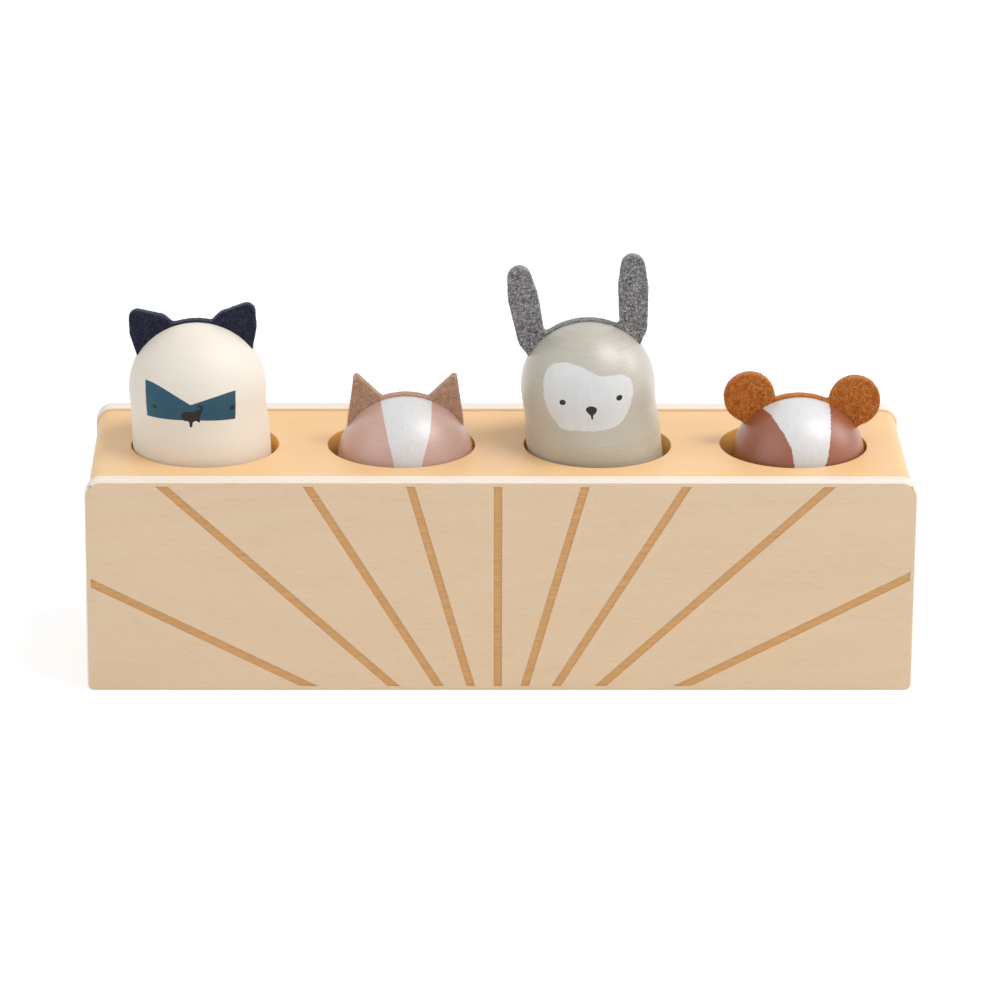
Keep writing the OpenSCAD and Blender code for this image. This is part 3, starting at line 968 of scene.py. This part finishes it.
def inside_by(points, outline):
    """Distance of each point to a closed outline, positive inside."""
    best = np.full(len(points), 1e9)
    inside = np.zeros(len(points), bool)
    for a, b in zip(outline, outline[1:] + outline[:1]):
        a, b = np.array(a, float), np.array(b, float)
        edge = b - a
        t = np.clip(((points - a) @ edge) / (edge @ edge), 0, 1)
        best = np.minimum(best, np.hypot(*(points - a - t[:, None] * edge).T))
        crosses = (a[1] > points[:, 1]) != (b[1] > points[:, 1])
        with np.errstate(divide="ignore", invalid="ignore"):
            x_at = a[0] + (points[:, 1] - a[1]) * edge[0] / edge[1]
        inside ^= crosses & (points[:, 0] < x_at)
    return np.where(inside, best, -best)


square = [(-1, -1), (1, -1), (1, 1), (-1, 1)]
print("the middle of a square 2 wide is inside by", inside_by(np.zeros((1, 2)), square)[0])


# %% Marking the mesh
FACE_REACH = 14.5
FACE_LOW = -8.0
FACE_HIGH = 11.0


def face_coordinates(mesh, turn, head_r):
    """Sideways and upward place of each mesh point on the face, in millimetres."""
    co = np.array([v.co for v in mesh.vertices]) / MM
    angle = math.radians(turn)
    x = co[:, 0] * math.cos(angle) + co[:, 1] * math.sin(angle)
    y = -co[:, 0] * math.sin(angle) + co[:, 1] * math.cos(angle)
    over = head_r / MM * np.arctan2(co[:, 2], np.maximum(-y, 1e-6))
    up = np.where(co[:, 2] < 0, co[:, 2], over)
    x = np.where(y > 0, 1e3, x)
    return np.stack([x, up], 1)


def refine_face(mesh, face, head_r):
    """Splits the mesh more finely around the eyes and nose, so that small marks stay crisp."""
    across, up = face_coordinates(mesh, face["turn"], head_r).T
    near = (np.abs(across) < FACE_REACH) & (up > FACE_LOW) & (up < FACE_HIGH)
    bm = opened(mesh)
    inside = [e for e in bm.edges if near[e.verts[0].index] and near[e.verts[1].index]]
    bmesh.ops.subdivide_edges(bm, edges=inside, cuts=2, use_grid_fill=True)
    closed(bm, mesh)


def store(mesh, name, values):
    attribute = mesh.attributes.new(name, "FLOAT", "POINT")
    attribute.data.foreach_set("value", values.astype(np.float32))


def paint_face(mesh, face, head_r):
    where = face_coordinates(mesh, face["turn"], head_r)
    store(mesh, "patch", inside_by(where, rounded(face["patch"], face["round"])))
    dark = inside_by(where, rounded(face["nose"], face["nose_round"]))
    for eye in face["eyes"]:
        dark = np.maximum(dark, face["eye_r"] - np.hypot(*(where - np.array(eye)).T))
    store(mesh, "dark", dark)


print("finer mesh within", FACE_REACH, "mm to each side, from", FACE_LOW, "to", FACE_HIGH, "mm up")

# %% [markdown]
# ## Animal paint
#
# One function makes all four paints. The base coat goes through the brush marks group. The
# patch is a second coat: its edge is the stored distance, pushed about by a noise whose
# size is how unsteady the brush was, and long strokes let the base coat show through where
# the second coat is thin. Eyes and nose are matt black on top: a thin coat of lacquer lies
# over the rest and leaves them out. Where one coat lies over another the surface is a
# little higher, so the masks feed the bump too.

# %% Animal paint material
EYE_BLACK = (0.012, 0.010, 0.009)
PAINTS = {
    "white_cat": {"coat": (0.85, 0.785, 0.695), "shade": (0.80, 0.725, 0.625), "streaks": 0.5,
                  "patch": (0.012, 0.066, 0.108), "patch_shade": (0.018, 0.086, 0.138),
                  "ragged": 0.04, "thin": 0.0, "strokes": (600.0, 200.0), "rough": 0.14,
                  "lacquer": 0.1},
    "pink_cat": {"coat": (0.58, 0.37, 0.315), "shade": (0.505, 0.305, 0.25), "streaks": 0.7,
                 "patch": (0.73, 0.735, 0.745), "patch_shade": (0.64, 0.65, 0.66),
                 "ragged": 0.12, "thin": 0.14, "strokes": (1000.0, 600.0), "rough": -0.06,
                 "lacquer": 1.0},
    "rabbit": {"coat": (0.54, 0.51, 0.44), "shade": (0.46, 0.43, 0.36), "streaks": 1.0,
               "patch": (0.72, 0.725, 0.73), "patch_shade": (0.65, 0.655, 0.665),
               "ragged": 0.30, "thin": 0.12, "strokes": (620.0, 120.0), "rough": -0.05,
               "lacquer": 0.9},
    "bear": {"coat": (0.315, 0.096, 0.043), "shade": (0.255, 0.073, 0.031), "streaks": 0.8,
             "patch": (0.74, 0.745, 0.75), "patch_shade": (0.66, 0.665, 0.67),
             "ragged": 0.30, "thin": 0.06, "strokes": (700.0, 250.0), "rough": -0.06,
             "lacquer": 1.0},
}
PAINT_SPECULAR = 0.35
LACQUER_ROUGHNESS = 0.35
PATCH_STREAKS = 0.8
BRISTLES = (1300.0, 1300.0, 700.0)


def animal_paint(animal):
    look = PAINTS[animal]
    material, g, shader = new_material(animal.replace("_", " ") + " paint")
    where = g.coordinates()
    base = g.group(brush_marks, Where=where, Paint=look["coat"], Shade=look["shade"],
                   Streaks=look["streaks"])
    second = g.group(brush_marks, Where=g.turned(where, "Y"), Paint=look["patch"],
                     Shade=look["patch_shade"], Streaks=PATCH_STREAKS)
    patch = g.node("ShaderNodeAttribute", "Fac", {"attribute_name": "patch"})
    dark = g.node("ShaderNodeAttribute", "Fac", {"attribute_name": "dark"})
    bristles = g.noise(where, BRISTLES, 2.0)
    wobble = g.times(g.math("SUBTRACT", bristles, 0.5), 4 * look["ragged"])
    patch = g.plus(patch, wobble)
    patch = g.remap(patch, -0.07, 0.07, smooth=True)
    across, along = look["strokes"]
    strokes = g.noise(where, (across, across, along), 3.0, 0.6)
    cover = g.remap(strokes, 0.6, 0.36, 1.0 - look["thin"], 1.0)
    dark = g.plus(dark, g.times(g.math("SUBTRACT", bristles, 0.5), 0.25))
    dark = g.remap(dark, -0.06, 0.06, smooth=True)
    colour = g.mix(g.times(patch, cover), base["Colour"], second["Colour"])
    colour = g.mix(dark, colour, EYE_BLACK)
    height = g.plus(base["Height"], g.times(patch, 1.2))
    height = g.plus(height, g.times(dark, 1.5))
    g.fill(shader, Base_Color=colour, Roughness=g.plus(base["Roughness"], look["rough"]),
           Specular_IOR_Level=PAINT_SPECULAR, Coat_Roughness=LACQUER_ROUGHNESS,
           Coat_Weight=g.remap(dark, 0.0, 1.0, look["lacquer"], 0.0),
           Normal=g.bump(height, 0.35, 0.04 * MM))
    return material


print("paints:", *PAINTS)


def make_body(animal):
    peg = pegs[animal]
    mesh = turned_mesh(peg)
    saw_slot(mesh)
    refine_face(mesh, FACES[animal], peg.head_r)
    paint_face(mesh, FACES[animal], peg.head_r)
    mesh.transform(peg.matrix)
    body = to_object(animal + "_turned", mesh, animal_paint(animal), smooth_angle=35.0)
    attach(body, animal)
    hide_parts(animal + "_body")
    return body


for animal in ANIMALS:
    body = make_body(animal)
    dress(animal + "_stop_disc", beech["X"], BOARD_BEVEL)
    dress(animal + "_push_dowel", beech["Z"], DOWEL_BEVEL)
    print("paint on", body.name + ":", body.active_material.name)

# %% [markdown]
# ## Felt ears
#
# Each pair of ears is one flat cut-out of 3 mm wool felt. Real felt has no crisp edge: the
# knife leaves it slightly rounded, and fibres stand off it. The outline is walked round the
# frame's cut-out, its kinks are eased, and it is made solid again with rounded edges. Its
# two flat sides are filled with small even triangles, so that noise can push the skin in
# and out. Then short curved fibres are laid over it, each a closed thin tube that starts in
# the felt, because a fuzzy outline can't come from a material alone.

# %% Felt material
FELTS = {
    "white_cat": {"wool": (0.007, 0.008, 0.025), "dark": (0.002, 0.002, 0.008),
                  "light": (0.045, 0.050, 0.105), "mottle": 0.65, "ease": 0.7,
                  "slot": "navy_felt"},
    "pink_cat": {"wool": (0.445, 0.257, 0.166), "dark": (0.29, 0.160, 0.100),
                 "light": (0.66, 0.45, 0.335), "mottle": 0.6, "ease": 0.35,
                 "slot": "beige_felt"},
    "rabbit": {"wool": (0.165, 0.160, 0.165), "dark": (0.045, 0.043, 0.048),
               "light": (0.50, 0.49, 0.49), "mottle": 0.95, "ease": 1.1,
               "slot": "grey_felt"},
    "bear": {"wool": (0.45, 0.120, 0.013), "dark": (0.25, 0.055, 0.004),
             "light": (0.72, 0.29, 0.062), "mottle": 0.75, "ease": 0.5,
             "slot": "rust_felt"},
}


def felt_material(animal):
    look = FELTS[animal]
    material, g, shader = new_material(look["slot"].replace("_", " "))
    where = g.coordinates()
    wool = g.group(felt, Where=where, Wool=look["wool"], Dark_fibre=look["dark"],
                   Light_fibre=look["light"], Mottle=look["mottle"])
    # Painted sheen: the cut edges, where fibres catch the light, are mixed toward a paler wool.
    across = g.part(g.coordinates("Normal"), "Y")
    edge_sheen_painted = g.remap(g.math("ABSOLUTE", across), 0.8, 0.45)
    pale = g.mix(0.6, look["light"], look["wool"])
    colour = g.mix(g.times(edge_sheen_painted, 0.6), wool["Colour"], pale)
    g.fill(shader, Base_Color=colour, Roughness=0.95, Specular_IOR_Level=0.1,
           Sheen_Weight=0.2, Sheen_Roughness=0.6, Normal=g.bump(wool["Height"], 0.8, 0.12 * MM))
    return material


print("felts:", [look["slot"] for look in FELTS.values()])


# %% The cut-out's outline
def felt_outline(animal):
    """The cut-out's outline in its peg's X and Z, walked round the edge of its front."""
    bm = opened(nodes[animal + "_ears"].data)
    bm.transform(pegs[animal].matrix.inverted())
    bmesh.ops.remove_doubles(bm, verts=bm.verts, dist=0.005 * MM)
    bm.verts.index_update()
    bm.normal_update()
    beside = {}
    for edge in bm.edges:
        if sum(face.normal.y < -0.9 for face in edge.link_faces) == 1:
            a, b = (v.index for v in edge.verts)
            beside.setdefault(a, []).append(b)
            beside.setdefault(b, []).append(a)
    start = min(beside)
    walk, ahead = [start], beside[start][0]
    while ahead != start:
        last = walk[-1]
        walk.append(ahead)
        ahead = [k for k in beside[ahead] if k != last][0]
    bm.verts.ensure_lookup_table()
    outline = [(bm.verts[k].co.x, bm.verts[k].co.z) for k in walk]
    bm.free()
    return outline


def eased_outline(points, step, width):
    """A closed outline resampled at an even step, with its kinks spread over a width."""
    points = np.array(points + points[:1])
    along = np.concatenate([[0.0], np.cumsum(np.hypot(*np.diff(points, axis=0).T))])
    places = np.linspace(0.0, along[-1], round(along[-1] / step), endpoint=False)
    even = np.stack([np.interp(places, along, points[:, i]) for i in (0, 1)], 1)
    offsets = np.arange(-round(3 * width / step), round(3 * width / step) + 1)
    weights = np.exp(-0.5 * (offsets * step / width) ** 2)
    weights /= weights.sum()

    def blurred(line):
        return sum(w * np.roll(line, k, axis=0) for k, w in zip(offsets, weights))

    soft = blurred(even)
    return [tuple(p) for p in 2 * soft - blurred(soft)]


print("points round each cut-out:", *[len(felt_outline(animal)) for animal in ANIMALS])


# %% The felt's skin
FELT_STEP = 0.3 * MM
FELT_EDGE_R = 0.45 * MM
FELT_SWELL = 0.1 * MM
FELT_ROUGH = 0.05 * MM
FINE_BUMPS = 0.9 * MM
BROAD_BUMPS = 4.0 * MM
BROAD_SHIFT = Vector((7, 3, 1))


def fill_evenly(bm, face, step):
    """Replaces a flat face with many sides by even triangles."""
    ring, y = list(face.verts), face.verts[0].co.y
    outline = [(v.co.x, v.co.z) for v in ring]
    low, high = np.min(outline, axis=0), np.max(outline, axis=0)
    xs, zs = np.meshgrid(np.arange(low[0], high[0], step), np.arange(low[1], high[1], step))
    xs[::2] += step / 2
    grid = np.stack([xs.ravel(), zs.ravel()], 1)
    inner = grid[inside_by(grid, outline) > 0.6 * step]
    flat = [Vector(p) / MM for p in [*outline, *inner.tolist()]]
    rim = [(k, (k + 1) % len(ring)) for k in range(len(ring))]
    places, _, triangles, sources, _, _ = geometry.delaunay_2d_cdt(flat, rim, [], 1, 1e-6)
    bm.faces.remove(face)
    corners = []
    for place, source in zip(places, sources):
        on_rim = source and source[0] < len(ring)
        corner = ring[source[0]] if on_rim else bm.verts.new((place.x * MM, y, place.y * MM))
        corners.append(corner)
    for triangle in triangles:
        bm.faces.new([corners[k] for k in triangle])


def felt_skin(animal):
    outline = eased_outline(felt_outline(animal), FELT_STEP, FELTS[animal]["ease"] * MM)
    mesh = slab(outline, -FELT_T / 2, FELT_T / 2, FELT_EDGE_R, steps=4, middle=5)
    bm = opened(mesh)
    for face in [f for f in bm.faces if len(f.verts) > 4]:
        fill_evenly(bm, face, 1.3 * FELT_STEP)
    bmesh.ops.recalc_face_normals(bm, faces=bm.faces)
    bm.transform(pegs[animal].matrix)
    bm.normal_update()
    for v in bm.verts:
        fine = noise.noise(v.co / FINE_BUMPS)
        broad = noise.noise(v.co / BROAD_BUMPS + BROAD_SHIFT)
        v.co += v.normal * (FELT_SWELL + FELT_ROUGH * (fine + broad))
    return closed(bm, mesh)


print("felt skin:", round(FELT_SWELL / MM, 2), "mm proud of the cut-out")


# %% Fibres
# The lengths and lifts are the least and the most, in millimetres.
FIBRE_LENGTHS = (0.6, 1.6)
FIBRE_LIFTS = (0.02, 0.16)
FIBRE_R = 0.028 * MM
FIBRE_ROOT = 0.04 * MM
FIBRES_PER_MM2 = 2.2


def fibre(bm, rng, place, normal):
    """A short curved fibre: a closed tube of three sides that starts in the felt."""
    along = Vector([rng.gauss(0, 1) for _ in range(3)])
    along = (along - along.dot(normal) * normal).normalized()
    side = along.cross(normal)
    curl = side * rng.uniform(-0.5, 0.5)
    length = rng.uniform(*FIBRE_LENGTHS) * MM
    lift = rng.uniform(*FIBRE_LIFTS) * MM
    rings = []
    for k in range(4):
        t = k / 3
        point = place + length * (along * t + curl * t * t)
        point += normal * (lift * math.sin(math.pi * (0.15 + 0.75 * t)) - FIBRE_ROOT)
        radius = FIBRE_R * (1 - 0.5 * t)
        rings.append([bm.verts.new(point + radius * (side * math.cos(a) + normal * math.sin(a)))
                      for a in (0.5, 0.5 + math.tau / 3, 0.5 + 2 * math.tau / 3)])
    bridge(bm, rings)
    bm.faces.new(rings[0][::-1])
    bm.faces.new(rings[-1])


def add_fibres(mesh, seed):
    rng = random.Random(seed)
    bm = opened(mesh)
    faces = list(bm.faces)
    areas = np.cumsum([f.calc_area() for f in faces])
    count = int(areas[-1] / MM ** 2 * FIBRES_PER_MM2)
    picks = np.searchsorted(areas, [rng.random() * areas[-1] for _ in range(count)])
    starts = [(faces[k].calc_center_median(), faces[k].normal.copy()) for k in picks]
    for place, normal in starts:
        fibre(bm, rng, place, normal)
    closed(bm, mesh)
    return count


print("fibres:", FIBRES_PER_MM2, "for each square millimetre")


# %% Ears
FIRST_SEED = 11


def make_ears(animal, seed):
    mesh = felt_skin(animal)
    count = add_fibres(mesh, seed)
    ears = to_object(animal + "_felt", mesh, felt_material(animal), smooth_angle=60.0)
    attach(ears, animal)
    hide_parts(animal + "_ears")
    print("fibres on", ears.name + ":", count)


for k, animal in enumerate(ANIMALS):
    make_ears(animal, FIRST_SEED + k)

# %% [markdown]
# ## Floor and light
#
# The toy stands on a seamless white surface under soft studio light. The key light is a
# large area lamp high up and a little to the right, close enough to leave soft highlights
# on the domes. A weaker one at the right gives their right sides a sheen. A broad one at
# the left and the pale world fill the shadows. Only what the camera and reflections see of
# the floor is lifted to white, so the toy isn't lit any brighter for it.

# %% World and floor
WORLD_STRENGTH = 0.54
WHITE = (1.0, 1.0, 1.0)
BLACK = (0.0, 0.0, 0.0)
FLOOR_SIZE = 8.0
FLOOR_COLOUR = (0.86, 0.86, 0.86)
FLOOR_GLOW = (0.86, 0.94, 1.0)


def seen_directly(g):
    path = g.tree.nodes.new("ShaderNodeLightPath")
    either = g.math("MAXIMUM", path.outputs["Is Camera Ray"], path.outputs["Is Glossy Ray"])
    return g.math("MAXIMUM", either, path.outputs["Is Transmission Ray"])


def make_world():
    world = bpy.data.worlds.new("studio")
    world.use_nodes = True
    g = Graph(world.node_tree)
    background = world.node_tree.nodes["Background"]
    strength = g.mix(seen_directly(g), (WORLD_STRENGTH,) * 3, WHITE)
    g.fill(background, Color=WHITE, Strength=strength)
    bpy.context.scene.world = world


def make_floor():
    bpy.ops.mesh.primitive_plane_add(size=FLOOR_SIZE, location=(0, 0, 0))
    floor = bpy.context.object
    floor.name = "floor"
    material, g, shader = new_material("seamless floor")
    g.fill(shader, Base_Color=FLOOR_COLOUR, Roughness=0.9, Specular_IOR_Level=0.0,
           Emission_Strength=0.5, Emission_Color=g.mix(seen_directly(g), BLACK, FLOOR_GLOW))
    floor.data.materials.append(material)


make_world()
make_floor()
print("floor:", FLOOR_SIZE, "m wide")

# %% Lamps
WARM = (1.0, 0.995, 0.985)
COOL = (0.97, 0.985, 1.0)
# Place and width in metres, power in watts, and colour.
LAMPS = {
    "key": ((1.05, -0.4, 1.85), 1.2, 23.0, WARM),
    "side": ((1.9, 0.3, 1.1), 1.0, 9.5, WARM),
    "fill": ((-1.9, -1.0, 1.2), 2.2, 9.5, COOL),
}
LIT_POINT = Vector((0, 0, 0.05))


def hang_lamp(name, place, width, power, colour):
    data = bpy.data.lights.new(name, "AREA")
    data.shape = "DISK"
    data.size = width
    data.energy = power
    data.color = colour
    lamp = bpy.data.objects.new(name, data)
    lamp.location = place
    towards = LIT_POINT - Vector(place)
    lamp.rotation_euler = towards.to_track_quat("-Z", "Y").to_euler()
    bpy.context.scene.collection.objects.link(lamp)


for name, lamp in LAMPS.items():
    hang_lamp(name, *lamp)
bpy.context.scene.view_settings.view_transform = "Standard"
print("lamps:", *LAMPS)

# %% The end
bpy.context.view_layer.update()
